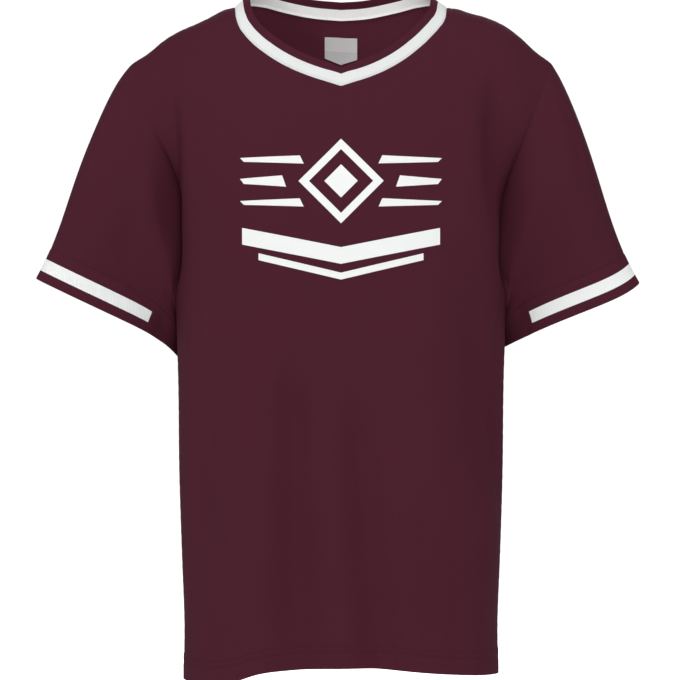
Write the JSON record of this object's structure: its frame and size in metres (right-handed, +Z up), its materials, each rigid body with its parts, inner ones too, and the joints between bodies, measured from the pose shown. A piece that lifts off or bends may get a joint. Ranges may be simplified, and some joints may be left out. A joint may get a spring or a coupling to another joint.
{
  "type": "baseball jersey",
  "caption": "Short-sleeved V-neck baseball jersey, filled out as worn with no wearer, open at neck, hem and cuffs.",
  "frame": {"origin": "middle point between the two side-neck points, where the wearer's shoulders hold the jersey up", "axes": "+Z up, the front faces -Y, +X towards the wearer's left side"},
  "size_m": [0.6381, 0.2396, 0.731],
  "materials": {
    "jersey_cloth": "matt polyester interlock with a faint sheen, maroon",
    "rib_knit": "fine rib knit, maroon with a knitted-in white stripe",
    "label_satin": "woven satin, light grey, blank",
    "chest_print": "flat white transfer film",
    "sewing_thread": "matt maroon polyester thread"
  },
  "bodies": {
    "root": {"front": "jersey_cloth", "back": "jersey_cloth", "sleeve_left": "jersey_cloth", "sleeve_right": "jersey_cloth", "collar": "rib_knit", "cuff_left": "rib_knit", "cuff_right": "rib_knit", "label": "label_satin"}
  },
  "joints": []
}
